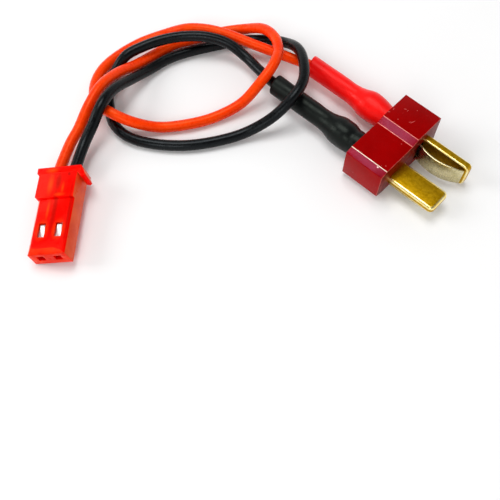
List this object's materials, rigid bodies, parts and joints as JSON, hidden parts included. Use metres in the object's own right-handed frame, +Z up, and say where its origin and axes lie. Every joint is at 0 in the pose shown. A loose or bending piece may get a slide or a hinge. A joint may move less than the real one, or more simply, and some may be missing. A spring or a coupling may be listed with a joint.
{
  "type": "battery connector adapter",
  "caption": "Adapter lead with a moulded two-blade plug on heat-shrunk solder tabs, looped red and black wires, and a small two-pole socket housing with crimp contacts.",
  "frame": {"origin": "centre of the underside of the plug body's thicker positive half, on the floor plane", "axes": "+X is the way the blades go into their mate, +Y runs from the negative to the positive blade, +Z is up from the floor"},
  "size_m": [0.0623, 0.0614, 0.007],
  "materials": {
    "plug_nylon": "glossy moulded",
    "gold_plate": "satin gold plate",
    "spring_plate": "bright pale plate",
    "solder": "dull",
    "copper_strand": "stranded copper",
    "red_shrink": "satin shrunk tube",
    "black_shrink": "satin shrunk tube",
    "red_silicone": "satin silicone",
    "black_silicone": "satin silicone",
    "socket_nylon": "translucent moulded",
    "tin_plate": "bright tin plate"
  },
  "bodies": {
    "root": {"plug_housing": "plug_nylon", "positive_blade": "gold_plate", "negative_blade": "gold_plate", "positive_spring": "spring_plate", "negative_spring": "spring_plate", "positive_solder": "solder", "negative_solder": "solder", "positive_strands": "copper_strand", "negative_strands": "copper_strand", "red_sleeve": "red_shrink", "black_sleeve": "black_shrink", "red_wire": "red_silicone", "black_wire": "black_silicone", "socket_housing": "socket_nylon", "positive_contact": "tin_plate", "negative_contact": "tin_plate", "positive_core": "copper_strand", "negative_core": "copper_strand"}
  },
  "joints": []
}
